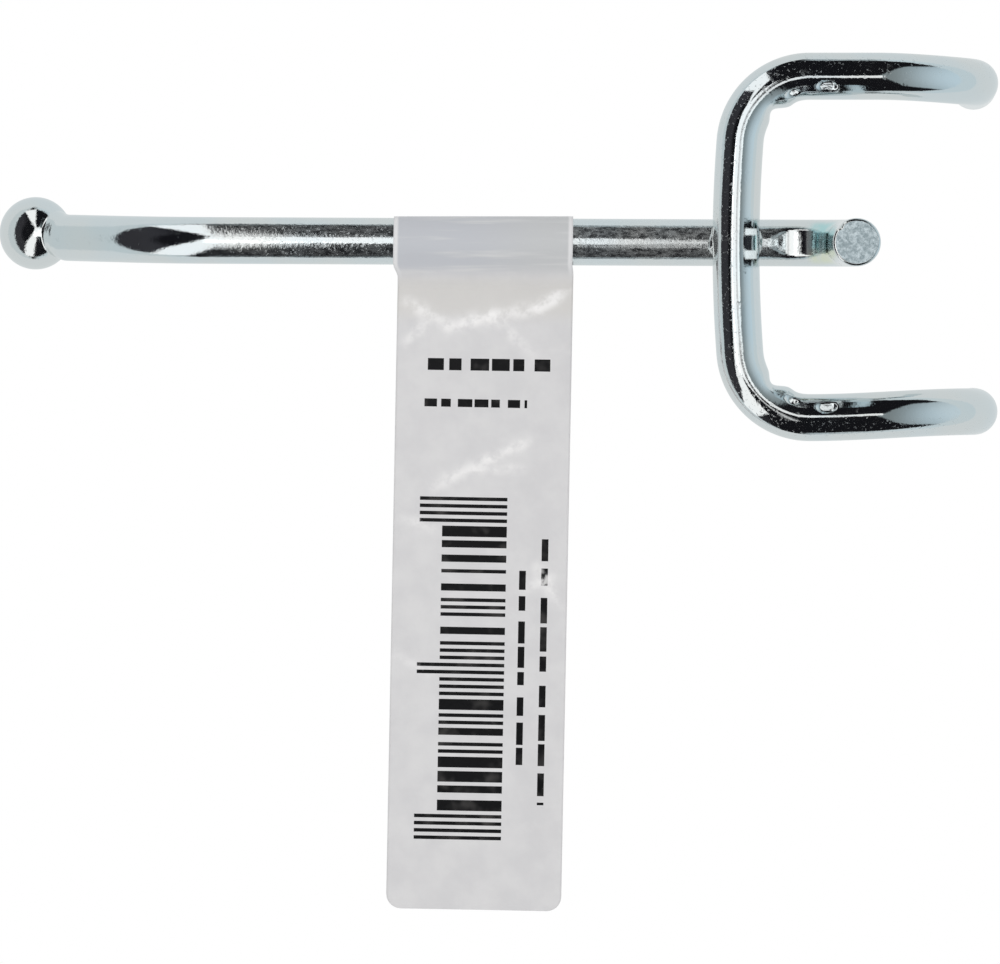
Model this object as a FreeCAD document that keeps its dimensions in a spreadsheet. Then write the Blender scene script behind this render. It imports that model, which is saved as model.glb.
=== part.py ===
"""Two-prong pegboard hook: a bent wire bracket, a ball-ended arm welded across it and a folded film flag."""
import FreeCAD, Part
import math
import os

import Sketcher
from FreeCAD import Placement, Rotation, Vector

# The frame: the origin lies on the front face of the board, midway between the two legs and at their
# height. X runs along the board, the arm points along -Y and the prongs turn up along +Z.
# Lengths are in millimetres and angles in degrees.
SIZES = [
    ("leg_pitch", 25.4, "between the axes of the two legs, one hole pitch of the board"),
    ("bracket_wire", 3.5, "diameter of the bracket's wire"),
    ("base_setback", 10.5, "board face to the axis of the bracket's base, at its crown"),
    ("base_bow_radius", 106.0, "gentle outward bow of the base"),
    ("corner_radius", 5.2, "bend at each corner of the U, on the wire's axis"),
    ("board_room", 5.9, "board face to the front of the upturned prongs"),
    ("elbow_radius", 8.0, "bend from leg to prong, on the wire's axis"),
    ("prong_rise", 12.0, "axis of the legs to the end of a prong, along the prong"),
    ("toe_in", 3.0, "lean of each prong towards the other"),
    ("prong_end_bevel", 0.35, "bevelled rim of a prong's cut end"),
    ("arm_wire", 3.5, "diameter of the arm's wire"),
    ("arm_offset", 0.4, "arm's axis from the middle of the bracket"),
    ("weld_set", 0.3, "how far the arm is pressed into the bracket by the weld"),
    ("weld_fillet", 0.35, "flash round the weld"),
    ("stub_radius", 5.25, "bend from arm to stub, on the wire's axis"),
    ("stub_drop", 14.6, "axis of the arm to the end of the stub"),
    ("stub_gap", 0.35, "board face to the back of the stub"),
    ("stub_end_bevel", 0.15, "rolled-over rim of the stub's sheared end"),
    ("arm_reach", 49.6, "board face to the start of the tip's bend"),
    ("tip_radius", 12.0, "bend from arm to tip, on the wire's axis"),
    ("tip_angle", 36.0, "rise of the tip above the arm"),
    ("tip_lean", 5.5, "sideways lean of the tip's bend"),
    ("tip_length", 8.3, "end of the tip's bend to the centre of the ball"),
    ("ball_diameter", 5.5, "ball at the arm's front end"),
    ("label_place", 29.1, "board face to the middle of the label"),
    ("label_width", 13.15, "label along the arm"),
    ("label_length", 50.15, "arm's axis to the free end of the label"),
    ("label_corner", 1.1, "rounded corners of the label's free end"),
    ("label_lean", 1.1, "label off square to the arm"),
    ("label_pinch", 3.4, "arm's axis to where the label's two layers meet"),
    ("film", 0.12, "thickness of one layer of film with its glue"),
    ("film_fit", 0.05, "room between the film and the wire"),
]

doc = FreeCAD.newDocument("pegboard_hook")
sheet = doc.addObject("Spreadsheet::Sheet", "sizes")
for row, (alias, value, meaning) in enumerate(SIZES, start=1):
    sheet.set(f"A{row}", meaning)
    sheet.set(f"B{row}", str(value))
    sheet.setAlias(f"B{row}", alias)
doc.recompute()
size = {alias: float(sheet.get(alias)) for alias, _, _ in SIZES}

# Places that several sketches share, written once as expressions of the sheet.
PRONG_PLACE = "(sizes.board_room + sizes.bracket_wire / 2)"
LEG_END = f"({PRONG_PLACE} - sizes.elbow_radius)"
ARM_HEIGHT = "(sizes.bracket_wire / 2 + sizes.arm_wire / 2 - sizes.weld_set)"
STUB_PLACE = "(-sizes.arm_wire / 2 - sizes.stub_gap)"
TIP_RUN = "(sizes.tip_radius * sin(sizes.tip_angle) + sizes.tip_length * cos(sizes.tip_angle))"
TIP_RISE = "(sizes.tip_radius * (1 - cos(sizes.tip_angle)) + sizes.tip_length * sin(sizes.tip_angle))"

prong_place = size["board_room"] + size["bracket_wire"] / 2
leg_end = prong_place - size["elbow_radius"]
arm_height = size["bracket_wire"] / 2 + size["arm_wire"] / 2 - size["weld_set"]
stub_place = -size["arm_wire"] / 2 - size["stub_gap"]
ALONG_X = Vector(1, 0, 0)
UP = Vector(0, 0, 1)
UNSET = 1.0  # start value of a dimension whose expression gives the real one


def body_plane(body, role):
    """The origin plane of a body, by its role."""
    return next(plane for plane in body.Origin.OriginFeatures if plane.Role == role)


def new_sketch(body, name, role, offset=Placement(), **bound):
    """A sketch on an origin plane; `bound` ties parts of its offset to the sheet."""
    sketch = body.newObject("Sketcher::SketchObject", name)
    sketch.AttachmentSupport = [(body_plane(body, role), "")]
    sketch.MapMode = "FlatFace"
    sketch.AttachmentOffset = offset
    paths = {"across": "Base.x", "along": "Base.y", "away": "Base.z", "turn": "Rotation.Angle"}
    for part, expression in bound.items():
        sketch.setExpression(f"AttachmentOffset.{paths[part]}", expression)
    return sketch


def dimension(sketch, constraint, expression):
    """Adds a dimension to a sketch and binds it to the sheet."""
    index = sketch.addConstraint(constraint)
    sketch.setExpression(f"Constraints[{index}]", expression)


def arc(centre, radius, start, end):
    """An arc in a sketch, its two angles in degrees, counter-clockwise."""
    circle = Part.Circle(Vector(centre[0], centre[1], 0), UP, radius)
    return Part.ArcOfCircle(circle, math.radians(start), math.radians(end))


def line(start, end):
    """A straight line in a sketch."""
    return Part.LineSegment(Vector(start[0], start[1], 0), Vector(end[0], end[1], 0))


def wire_section(body, name, role, diameter, across, along, **bound):
    """A round section of wire, its centre at two expressions in the sketch's own axes."""
    sketch = new_sketch(body, name, role, **bound)
    sketch.addGeometry(Part.Circle(Vector(0, 0, 0), UP, size[diameter] / 2))
    dimension(sketch, Sketcher.Constraint("Diameter", 0, size[diameter]), f"sizes.{diameter}")
    dimension(sketch, Sketcher.Constraint("DistanceX", -1, 1, 0, 3, UNSET), across)
    dimension(sketch, Sketcher.Constraint("DistanceY", -1, 1, 0, 3, UNSET), along)
    return sketch


def pipe(body, name, section, spine):
    """Sweeps a section of wire along a spine."""
    feature = body.newObject("PartDesign::AdditivePipe", name)
    feature.Profile = section
    feature.Spine = (spine, [])
    doc.recompute()
    return feature


def end_rims(feature, is_end):
    """The names of the circular edges whose centre satisfies is_end."""
    names = []
    for number, edge in enumerate(feature.Shape.Edges, start=1):
        if edge.Degenerated or not isinstance(edge.Curve, Part.Circle):
            continue
        if is_end(edge.Curve.Center):
            names.append(f"Edge{number}")
    return names


def bevelled(body, name, base, edges, depth):
    """A bevel on some edges of a feature."""
    bevel = body.newObject("PartDesign::Chamfer", name)
    bevel.Base = (base, edges)
    bevel.setExpression("Size", f"sizes.{depth}")
    doc.recompute()
    return bevel


def base_spine(body):
    """Axis of the bracket from one leg's end round the bowed base to the other leg's end."""
    half = size["leg_pitch"] / 2
    corner = size["corner_radius"]
    bow = size["base_bow_radius"]
    bow_centre = bow - size["base_setback"]
    corner_x = half - corner
    corner_y = bow_centre - math.sqrt((bow - corner) ** 2 - corner_x ** 2)
    turn = math.degrees(math.asin(corner_x / (bow - corner)))
    sketch = new_sketch(body, "base_axis", "XY_Plane")
    sketch.addGeometry([
        line((half, leg_end), (half, corner_y)),
        arc((corner_x, corner_y), corner, 270 + turn, 360),
        arc((0, bow_centre), bow, 270 - turn, 270 + turn),
        arc((-corner_x, corner_y), corner, 180, 270 - turn),
        line((-half, corner_y), (-half, leg_end)),
    ])
    sketch.addConstraint([
        Sketcher.Constraint("Tangent", 0, 2, 1, 2),
        Sketcher.Constraint("Tangent", 1, 1, 2, 2),
        Sketcher.Constraint("Tangent", 2, 1, 3, 2),
        Sketcher.Constraint("Tangent", 3, 1, 4, 1),
        Sketcher.Constraint("Vertical", 0),
        Sketcher.Constraint("Symmetric", 0, 1, 4, 2, -2),
        Sketcher.Constraint("PointOnObject", 2, 3, -2),
        Sketcher.Constraint("Equal", 1, 3),
    ])
    dimension(sketch, Sketcher.Constraint("Radius", 1, corner), "sizes.corner_radius")
    dimension(sketch, Sketcher.Constraint("Radius", 2, bow), "sizes.base_bow_radius")
    dimension(sketch, Sketcher.Constraint("DistanceX", 4, 2, 0, 1, 2 * half), "sizes.leg_pitch")
    dimension(sketch, Sketcher.Constraint("DistanceY", -1, 1, 0, 1, leg_end), LEG_END)
    dimension(
        sketch,
        Sketcher.Constraint("DistanceY", -1, 1, 2, 3, bow_centre),
        "sizes.base_bow_radius - sizes.base_setback",
    )
    return sketch


def prong_spine(body):
    """Axis of one elbow and its prong, in the leg's upright plane turned by the toe-in."""
    lean = Placement(Vector(), Rotation(ALONG_X, -size["toe_in"]))
    sketch = new_sketch(
        body, "prong_axis", "YZ_Plane", lean, away="sizes.leg_pitch / 2", turn="-sizes.toe_in"
    )
    elbow = size["elbow_radius"]
    sketch.addGeometry([
        arc((leg_end, elbow), elbow, 270, 360),
        line((prong_place, elbow), (prong_place, size["prong_rise"])),
    ])
    sketch.addConstraint([
        Sketcher.Constraint("PointOnObject", 0, 1, -1),
        Sketcher.Constraint("Vertical", 0, 1, 0, 3),
        Sketcher.Constraint("Tangent", 0, 2, 1, 1),
        Sketcher.Constraint("Vertical", 1),
    ])
    dimension(sketch, Sketcher.Constraint("Radius", 0, elbow), "sizes.elbow_radius")
    dimension(sketch, Sketcher.Constraint("DistanceX", -1, 1, 1, 2, prong_place), PRONG_PLACE)
    dimension(sketch, Sketcher.Constraint("DistanceY", -1, 1, 1, 2, size["prong_rise"]), "sizes.prong_rise")
    return sketch


def make_bracket():
    """The U-shaped wire with two upturned prongs."""
    body = doc.addObject("PartDesign::Body", "bracket")
    leg_section = wire_section(
        body, "leg_section", "XZ_Plane", "bracket_wire", "sizes.leg_pitch / 2", "0", away=f"-{LEG_END}"
    )
    pipe(body, "bent_base", leg_section, base_spine(body))
    prong = pipe(body, "right_prong", leg_section, prong_spine(body))
    mirrored = body.newObject("PartDesign::Mirrored", "left_prong")
    mirrored.Originals = [prong]
    mirrored.MirrorPlane = (body_plane(body, "YZ_Plane"), [""])
    body.Tip = mirrored
    doc.recompute()
    rims = end_rims(mirrored, lambda centre: centre.z > size["elbow_radius"] + size["bracket_wire"] / 2)
    body.Tip = bevelled(body, "prong_ends", mirrored, rims, "prong_end_bevel")
    body.Label = "bracket"
    doc.recompute()
    return body


def arm_spine(body):
    """Axis of the arm from the end of the stub, round its bend and along to the tip's bend."""
    bend = size["stub_radius"]
    sketch = new_sketch(body, "arm_axis", "YZ_Plane", away="sizes.arm_offset")
    sketch.addGeometry([
        line((stub_place, arm_height - size["stub_drop"]), (stub_place, arm_height - bend)),
        arc((stub_place - bend, arm_height - bend), bend, 0, 90),
        line((stub_place - bend, arm_height), (-size["arm_reach"], arm_height)),
    ])
    sketch.addConstraint([
        Sketcher.Constraint("Tangent", 0, 2, 1, 1),
        Sketcher.Constraint("Tangent", 1, 2, 2, 1),
        Sketcher.Constraint("Vertical", 0),
        Sketcher.Constraint("Horizontal", 2),
    ])
    dimension(sketch, Sketcher.Constraint("Radius", 1, bend), "sizes.stub_radius")
    dimension(sketch, Sketcher.Constraint("DistanceX", -1, 1, 0, 1, stub_place), STUB_PLACE)
    dimension(sketch, Sketcher.Constraint("DistanceY", 0, 1, 2, 2, size["stub_drop"]), "sizes.stub_drop")
    dimension(sketch, Sketcher.Constraint("DistanceX", 2, 2, -1, 1, size["arm_reach"]), "sizes.arm_reach")
    dimension(sketch, Sketcher.Constraint("DistanceY", -1, 1, 2, 2, arm_height), ARM_HEIGHT)
    return sketch


def tip_spine(body):
    """Axis of the upturned tip, in the arm's upright plane turned by the tip's lean."""
    lean = Placement(Vector(), Rotation(ALONG_X, size["tip_lean"]))
    sketch = new_sketch(
        body, "tip_axis", "YZ_Plane", lean, along=ARM_HEIGHT, away="sizes.arm_offset", turn="sizes.tip_lean"
    )
    bend = size["tip_radius"]
    rise = math.radians(size["tip_angle"])
    start = -size["arm_reach"]
    bent = (start - bend * math.sin(rise), bend * (1 - math.cos(rise)))
    ball = (bent[0] - size["tip_length"] * math.cos(rise), bent[1] + size["tip_length"] * math.sin(rise))
    sketch.addGeometry([
        arc((start, bend), bend, 270 - size["tip_angle"], 270),
        line(bent, ball),
    ])
    sketch.addConstraint([
        Sketcher.Constraint("PointOnObject", 0, 2, -1),
        Sketcher.Constraint("Vertical", 0, 2, 0, 3),
        Sketcher.Constraint("Tangent", 0, 1, 1, 1),
    ])
    dimension(sketch, Sketcher.Constraint("Radius", 0, bend), "sizes.tip_radius")
    dimension(sketch, Sketcher.Constraint("DistanceX", 0, 2, -1, 1, -start), "sizes.arm_reach")
    dimension(sketch, Sketcher.Constraint("DistanceX", 1, 2, 0, 2, start - ball[0]), TIP_RUN)
    dimension(sketch, Sketcher.Constraint("DistanceY", 0, 2, 1, 2, ball[1]), TIP_RISE)
    return sketch


def add_ball(body, tip_axis):
    """The ball formed on the tip's end, centred on the free end of the tip's axis and turned to it."""
    ball = body.newObject("PartDesign::AdditiveSphere", "ball")
    straight = [
        f"Edge{number}"
        for number, edge in enumerate(tip_axis.Shape.Edges, start=1)
        if isinstance(edge.Curve, Part.Line)
    ]
    ball.AttachmentSupport = [(tip_axis, straight[0])]
    ball.MapMode = "NormalToEdge"
    ball.MapPathParameter = 1.0
    ball.setExpression("Radius", "sizes.ball_diameter / 2")
    doc.recompute()
    return ball


def make_bent_arm():
    """The arm's wire before it is welded: stub, straight, upturned tip and ball."""
    body = doc.addObject("PartDesign::Body", "bent_arm")
    stub_section = wire_section(
        body, "stub_section", "XY_Plane", "arm_wire", "sizes.arm_offset", STUB_PLACE,
        away=f"{ARM_HEIGHT} - sizes.stub_drop",
    )
    pipe(body, "stub_and_arm", stub_section, arm_spine(body))
    tip_section = wire_section(
        body, "tip_section", "XZ_Plane", "arm_wire", "sizes.arm_offset", ARM_HEIGHT, away="sizes.arm_reach"
    )
    tip_axis = tip_spine(body)
    pipe(body, "upturned_tip", tip_section, tip_axis)
    ball = add_ball(body, tip_axis)
    stub_end = arm_height - size["stub_drop"]
    rims = end_rims(ball, lambda centre: centre.z < stub_end + size["stub_end_bevel"])
    body.Tip = bevelled(body, "stub_end", ball, rims, "stub_end_bevel")
    doc.recompute()
    return body


def make_arm(bracket, bent_arm):
    """The arm with its seat on the bracket and the flash of the weld round that seat."""
    crossing = doc.addObject("Part::Fuse", "crossing")
    crossing.Base = bent_arm
    crossing.Tool = bracket
    doc.recompute()
    flash = doc.addObject("Part::Fillet", "weld_flash")
    flash.Base = crossing
    weld_place = Vector(size["arm_offset"], -size["base_setback"], arm_height - size["arm_wire"] / 2)
    seat = [
        (number, size["weld_fillet"], size["weld_fillet"])
        for number, edge in enumerate(crossing.Shape.Edges, start=1)
        if edge.BoundBox.Center.distanceToPoint(weld_place) < size["arm_wire"] / 2
        and edge.BoundBox.DiagonalLength < 2 * size["arm_wire"]
    ]
    flash.Edges = seat
    doc.recompute()
    arm = doc.addObject("Part::Cut", "arm")
    arm.Base = flash
    arm.Tool = bracket
    arm.Label = "arm"
    doc.recompute()
    return arm


def wrap_profile(body):
    """Section of the folded label: a drop-shaped loop round the wire and the two layers of the flag."""
    inner = size["arm_wire"] / 2 + size["film_fit"]
    outer = inner + size["film"]
    pinch = size["label_pinch"]
    flag_end = -size["label_length"] - size["label_width"]
    sketch = new_sketch(body, "wrap_profile", "XZ_Plane", across="sizes.arm_offset", along=ARM_HEIGHT)
    touch = math.degrees(math.acos(inner / pinch))

    def on_loop(radius, angle):
        return (radius * math.cos(math.radians(angle)), radius * math.sin(math.radians(angle)))

    inner_high = on_loop(inner, 180 - touch)
    inner_low = on_loop(inner, 180 + touch)
    outer_high = on_loop(outer, 180 - touch)
    outer_low = on_loop(outer, 180 + touch)
    film = size["film"]
    sketch.addGeometry([
        arc((0, 0), inner, 180 + touch, 540 - touch),
        line(inner_high, (-pinch, 0)),
        line((-pinch, 0), inner_low),
        arc((0, 0), outer, 180 + touch, 540 - touch),
        line(outer_high, (-pinch, film)),
        line((-pinch, film), (flag_end, film)),
        line((flag_end, film), (flag_end, -film)),
        line((flag_end, -film), (-pinch, -film)),
        line((-pinch, -film), outer_low),
    ])
    sketch.addConstraint([
        Sketcher.Constraint("Coincident", 0, 3, -1, 1),
        Sketcher.Constraint("Coincident", 3, 3, -1, 1),
        Sketcher.Constraint("Tangent", 0, 2, 1, 1),
        Sketcher.Constraint("Coincident", 1, 2, 2, 1),
        Sketcher.Constraint("Tangent", 2, 2, 0, 1),
        Sketcher.Constraint("PointOnObject", 1, 2, -1),
        Sketcher.Constraint("Tangent", 3, 2, 4, 1),
        Sketcher.Constraint("Coincident", 4, 2, 5, 1),
        Sketcher.Constraint("Coincident", 5, 2, 6, 1),
        Sketcher.Constraint("Coincident", 6, 2, 7, 1),
        Sketcher.Constraint("Coincident", 7, 2, 8, 1),
        Sketcher.Constraint("Tangent", 8, 2, 3, 1),
        Sketcher.Constraint("Horizontal", 5),
        Sketcher.Constraint("Horizontal", 7),
        Sketcher.Constraint("Vertical", 6),
        Sketcher.Constraint("Symmetric", 4, 2, 8, 1, -1),
    ])
    dimension(sketch, Sketcher.Constraint("Radius", 0, inner), "sizes.arm_wire / 2 + sizes.film_fit")
    dimension(
        sketch,
        Sketcher.Constraint("Radius", 3, outer),
        "sizes.arm_wire / 2 + sizes.film_fit + sizes.film",
    )
    dimension(sketch, Sketcher.Constraint("DistanceX", 1, 2, -1, 1, pinch), "sizes.label_pinch")
    dimension(sketch, Sketcher.Constraint("DistanceX", 4, 2, -1, 1, pinch), "sizes.label_pinch")
    dimension(sketch, Sketcher.Constraint("DistanceY", 6, 2, 6, 1, 2 * film), "2 * sizes.film")
    dimension(
        sketch,
        Sketcher.Constraint("DistanceX", 6, 1, -1, 1, -flag_end),
        "sizes.label_length + sizes.label_width",
    )
    return sketch


def flag_outline(body):
    """The label's outline seen from above: a strip with two rounded corners, a little off square."""
    half = size["label_width"] / 2
    corner = size["label_corner"]
    end = -size["label_length"]
    fold = size["arm_wire"]
    lean = Placement(Vector(), Rotation(UP, size["label_lean"]))
    sketch = new_sketch(
        body, "flag_outline", "XY_Plane", lean,
        across="sizes.arm_offset", along="-sizes.label_place", turn="sizes.label_lean",
    )
    sketch.addGeometry([
        line((fold, half), (end + corner, half)),
        arc((end + corner, half - corner), corner, 90, 180),
        line((end, half - corner), (end, corner - half)),
        arc((end + corner, corner - half), corner, 180, 270),
        line((end + corner, -half), (fold, -half)),
        line((fold, -half), (fold, half)),
    ])
    sketch.addConstraint([
        Sketcher.Constraint("Tangent", 0, 2, 1, 1),
        Sketcher.Constraint("Tangent", 1, 2, 2, 1),
        Sketcher.Constraint("Tangent", 2, 2, 3, 1),
        Sketcher.Constraint("Tangent", 3, 2, 4, 1),
        Sketcher.Constraint("Coincident", 4, 2, 5, 1),
        Sketcher.Constraint("Coincident", 5, 2, 0, 1),
        Sketcher.Constraint("Equal", 1, 3),
        Sketcher.Constraint("Horizontal", 0),
        Sketcher.Constraint("Symmetric", 0, 1, 4, 2, -1),
    ])
    dimension(sketch, Sketcher.Constraint("Radius", 1, corner), "sizes.label_corner")
    dimension(sketch, Sketcher.Constraint("DistanceY", 5, 1, 5, 2, 2 * half), "sizes.label_width")
    dimension(sketch, Sketcher.Constraint("DistanceX", 2, 1, -1, 1, -end), "sizes.label_length")
    dimension(sketch, Sketcher.Constraint("DistanceX", -1, 1, 0, 1, fold), "sizes.arm_wire")
    return sketch


def make_label():
    """The film strip folded round the arm, trimmed to its outline."""
    wrap = doc.addObject("PartDesign::Body", "label_wrap")
    folded = wrap.newObject("PartDesign::Pad", "folded_strip")
    folded.Profile = wrap_profile(wrap)
    folded.setExpression("Length", "sizes.label_place + sizes.label_width")
    trim = doc.addObject("PartDesign::Body", "label_trim")
    strip = trim.newObject("PartDesign::Pad", "strip_outline")
    strip.Profile = flag_outline(trim)
    strip.setExpression("Length", f"2 * {ARM_HEIGHT}")
    doc.recompute()
    label = doc.addObject("Part::Common", "label")
    label.Base = wrap
    label.Tool = trim
    label.Label = "label"
    doc.recompute()
    return label


bracket = make_bracket()
arm = make_arm(bracket, make_bent_arm())
label = make_label()
doc.recompute()

for item in doc.Objects:
    if "Invalid" in item.State or "Error" in item.State:
        raise RuntimeError(f"{item.Name} failed: {item.State}")
pieces = [bracket, arm, label]
for piece in pieces:
    if piece.Shape.isNull() or not piece.Shape.isValid() or len(piece.Shape.Solids) != 1:
        raise RuntimeError(f"{piece.Label} is not one valid solid")

os.makedirs("parts", exist_ok=True)
for piece in pieces:
    piece.Shape.exportStep(f"parts/{piece.Label}.step")
    print(piece.Label, "volume", round(piece.Shape.Volume, 2), "mm3")
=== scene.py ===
"""Dresses the pegboard hook: two plated wires, their weld and the folded film flag, in a small studio."""

import math

import bpy
from mathutils import Matrix, Vector, noise


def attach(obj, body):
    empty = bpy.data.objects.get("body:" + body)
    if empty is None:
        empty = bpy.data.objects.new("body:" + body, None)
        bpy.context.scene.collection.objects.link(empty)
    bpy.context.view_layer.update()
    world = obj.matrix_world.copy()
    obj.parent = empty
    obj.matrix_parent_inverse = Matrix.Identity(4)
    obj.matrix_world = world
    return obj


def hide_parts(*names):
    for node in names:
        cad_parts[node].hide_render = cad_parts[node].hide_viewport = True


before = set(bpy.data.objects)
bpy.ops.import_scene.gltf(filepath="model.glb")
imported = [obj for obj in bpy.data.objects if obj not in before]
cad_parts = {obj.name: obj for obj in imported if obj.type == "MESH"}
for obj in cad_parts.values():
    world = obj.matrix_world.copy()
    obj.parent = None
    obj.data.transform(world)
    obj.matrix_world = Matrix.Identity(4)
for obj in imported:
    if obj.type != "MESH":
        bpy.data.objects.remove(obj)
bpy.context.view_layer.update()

# Sizes of the hook in millimetres and degrees. Most are the solids' own. The elbows, the toe-in and spring
# of the legs, the tip and the ball follow this one hook more closely. The origin lies on the board's front
# face, midway between the legs. The arm points along -Y and the prongs turn up along +Z.
MM = 0.001
WIRE = 3.5 / 2
LEG_PITCH = 25.4
BASE_SETBACK = 10.5
BASE_BOW = 106.0
CORNER_BEND = 5.2
PRONG_PLACE = 5.9 + WIRE
ELBOW_BEND = 8.0
ELBOW_EASE = 10.0
ELBOW_EASE_ANGLE = 40.0
PRONG_RISE = 12.0
PRONG_OPEN = 3.0
LEFT_TOE_IN = -0.7
RIGHT_TOE_IN = 0.8
PRONG_BEVEL = 0.35
ARM_OFFSET = 0.4
WELD_SET = 0.3
ARM_HEIGHT = 2 * WIRE - WELD_SET
FLASH_REACH = 1.56
FLASH_BEAD = 0.46
FLASH_LUMPS = 0.14
FLASH_GRIT = 0.05
FLASH_SQUASH = 0.8
STUB_EASE = 9.95
STUB_EASE_ANGLE = 13.0
STUB_PLACE = WIRE + 0.35
STUB_BEND = STUB_PLACE + 5.25
STUB_DROP = 14.6
STUB_FLAT = 0.33
RUN_FLAT = 0.05
STUB_BEVEL = 0.15
ARM_REACH = 49.6
TIP_BEND = 11.2
TIP_ANGLE = 36.0
TIP_LEAN = 1.9
ARM_TURN = math.radians(0.26)
ARM_PIVOT = 25.0
TIP_LENGTH = 8.88
BALL = 5.5 / 2
BALL_NECK = 0.05
BALL_SHIFT = 0.28
BALL_SHIFT_BEFORE = 0.4
BALL_SHIFT_AFTER = 0.8
FLAG_PLACE = 29.1
FLAG_WIDTH = 13.15
FLAG_LENGTH = 50.15
FLAG_CORNER = 1.1
FLAG_LEAN = math.radians(1.1)
FLAG_PINCH = 3.4
FLAG_FREE = 12
FLAG_RIPPLE = 0.10
FLAG_CURL = 0.06
CREASE_FROM = 4.6
WRAP_SKEW = (0.23, 0.13)
SKEW_FROM = 2.6
SKEW_FULL = 1.6
FILM = 0.11
FILM_SEAT = WIRE + 0.11

# The studio under the hook: the camera, and the height of the lamps and of the cards beside them.
LOOK_AT = Vector((-17.5, -28.07, 0))
CAMERA_PLACE = Vector((-2.44, -28.07, -500))
PHOTO_WIDTH = 1000
FOCAL_PIXELS = 6712
LAMP_PLANE = -135
CARD_PLANE = -135.5
CARD_WHITE = (1.1, 1.1, 1.1)
PAPER_WHITE = (0.62, 0.675, 0.69)

# Tints of the rough places: two that mix in patches on sheared ends, two on the weld, and a painted
# reflection by the weld.
SHEARED_TINTS = ((0.34, 0.42, 0.45, 1), (0.69, 0.79, 0.83, 1))
WELD_TINTS = ((0.74, 0.78, 0.79, 1), (0.62, 0.62, 0.60, 1))
PAINTED_REFLECTION_TINT = (0.84, 0.93, 0.95, 1)

X_AXIS = Vector((1, 0, 0))
Y_AXIS = Vector((0, 1, 0))
Z_AXIS = Vector((0, 0, 1))

# Where the left leg starts on the bracket's wire pulled straight.
LEG_RUN = 16.566

# How far each leg is sprung along X, and from which to which place along Y the spring grows.
LEFT_SPRING = (0.42, -5.0, 7.0)
RIGHT_SPRING = (-0.3, 0.0, 9.0)

# Marks of the bending punch inside both corners: depth, degrees from the base and width in degrees.
PUNCH_DENT = (0.42, 43, 9)
PUNCH_RIDGE = (0.14, 63, 8)
PUNCH_FADE = 8

# The nick in the rim of the stub's end: depth, turn and width.
STUB_NICK = (0.16, 1.74 * math.pi, 0.14)

# A painted reflection beside the weld: two pale patches on the inner side of the bracket's base, each as the
# place along the wire and half the length.
PAINTED_WELD_REFLECTIONS = [(38.04, 0.24), (36.33, 0.32)]

# Oval flats the bending tool leaves on the inner side of both legs: the place along the leg, half the length,
# the turns from the underside where the flat starts and ends, and the turn it faces.
TOOL_FLATS = [(1.2, 0.64, 0.25, 0.71, 0.073), (-1.75, 0.46, 0.51, 0.85, 0.078)]

# How finely the pieces are meshed: points round a wire, the longest steps along it, and the rings and rows
# of the ball, the weld's flash and the flag.
WIRE_SIDES = 120
RUN_STEP = 0.5
TIP_STEP = 0.25
FINE_STEP = 0.12
BEND_STEP = 0.22
BALL_RINGS = 60
FLASH_AROUND = 96
FLASH_SIDES = 16
FLAG_COLUMNS = 72
FLAG_ROWS = 190
WRAP_ROWS = 48


def smooth(low, high, value):
    """Rises smoothly from 0 at low to 1 at high."""
    share = min(max((value - low) / (high - low), 0.0), 1.0)
    return share * share * (3 - 2 * share)


def hump(value, middle, width):
    """A soft hump of height 1 round a middle value."""
    return math.exp(-(((value - middle) / width) ** 2))


class BentWire:
    """The axis of a wire as a bender makes it, in straight runs and bends, with a ring at each step."""

    def __init__(self, place, heading, side, run=0.0):
        self.place = Vector(place)
        self.heading = Vector(heading)
        self.side = Vector(side)
        self.run = run
        self.rings = []
        self.keep_ring()

    def keep_ring(self):
        up = self.heading.cross(self.side)
        self.rings.append((self.place.copy(), self.heading.copy(), self.side.copy(), up, self.run))

    def forward(self, length):
        self.place += self.heading * length
        self.run += length
        self.keep_ring()

    def straight(self, length, step=RUN_STEP):
        count = max(1, math.ceil(length / step))
        for _ in range(count):
            self.forward(length / count)

    def turn_about(self, pivot, angle):
        """Turns the whole wire about an upright axis."""
        turn = Matrix.Rotation(angle, 3, "Z")
        self.rings = [
            (pivot + turn @ (place - pivot), turn @ heading, turn @ side, turn @ up, run)
            for place, heading, side, up, run in self.rings
        ]

    def set_off(self, step, start, end):
        """Moves the wire sideways beyond a place along it."""
        self.rings = [
            (place + side * step * smooth(start, end, run), heading, side, up, run)
            for place, heading, side, up, run in self.rings
        ]

    def spring(self, step, start, end, first_run, last_run):
        """Lets one leg spring along X, more and more from start to end along Y."""
        self.rings = [
            (place + X_AXIS * step * smooth(start, end, place.y) * (first_run <= run <= last_run),
             heading, side, up, run)
            for place, heading, side, up, run in self.rings
        ]

    def elbow(self, towards, bends):
        """Bends of changing radius, one after the other in one plane."""
        axis = self.heading.cross(towards)
        for radius, angle in bends:
            self.bend(radius, angle, axis.cross(self.heading))

    def bend(self, radius, angle, towards):
        arc = radius * math.radians(angle)
        count = max(1, math.ceil(arc / BEND_STEP))
        axis = self.heading.cross(towards).normalized()
        centre = self.place + towards * radius
        turn = Matrix.Rotation(math.radians(angle) / count, 3, axis)
        for _ in range(count):
            self.place = centre + turn @ (self.place - centre)
            self.heading = (turn @ self.heading).normalized()
            self.side = (turn @ self.side).normalized()
            self.run += arc / count
            self.keep_ring()


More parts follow.
